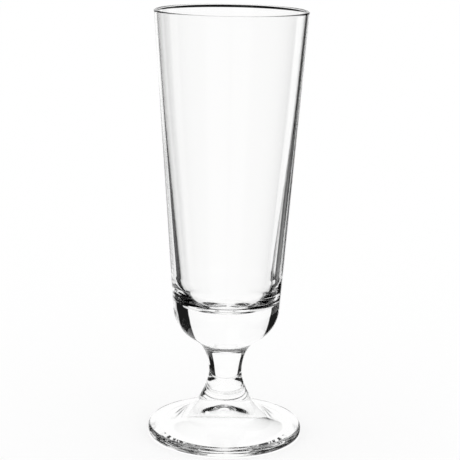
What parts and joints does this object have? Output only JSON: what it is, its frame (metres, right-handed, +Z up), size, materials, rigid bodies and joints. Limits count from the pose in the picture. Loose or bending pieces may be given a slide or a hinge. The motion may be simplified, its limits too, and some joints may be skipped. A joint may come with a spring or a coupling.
{
  "type": "footed highball glass",
  "caption": "Clear footed highball glass: a tall tapered bowl with a heavy solid base, on a short waisted stem and a round foot.",
  "frame": {"origin": "centre of the plane that the foot rests on", "axes": "+Z up along the glass's axis of revolution; X and Y are any two directions across it"},
  "size_m": [0.0728, 0.0728, 0.2],
  "materials": {
    "clear_glass": "clear, fire-polished"
  },
  "bodies": {
    "root": {"foot": "clear_glass", "stem": "clear_glass", "bowl": "clear_glass"}
  },
  "joints": []
}
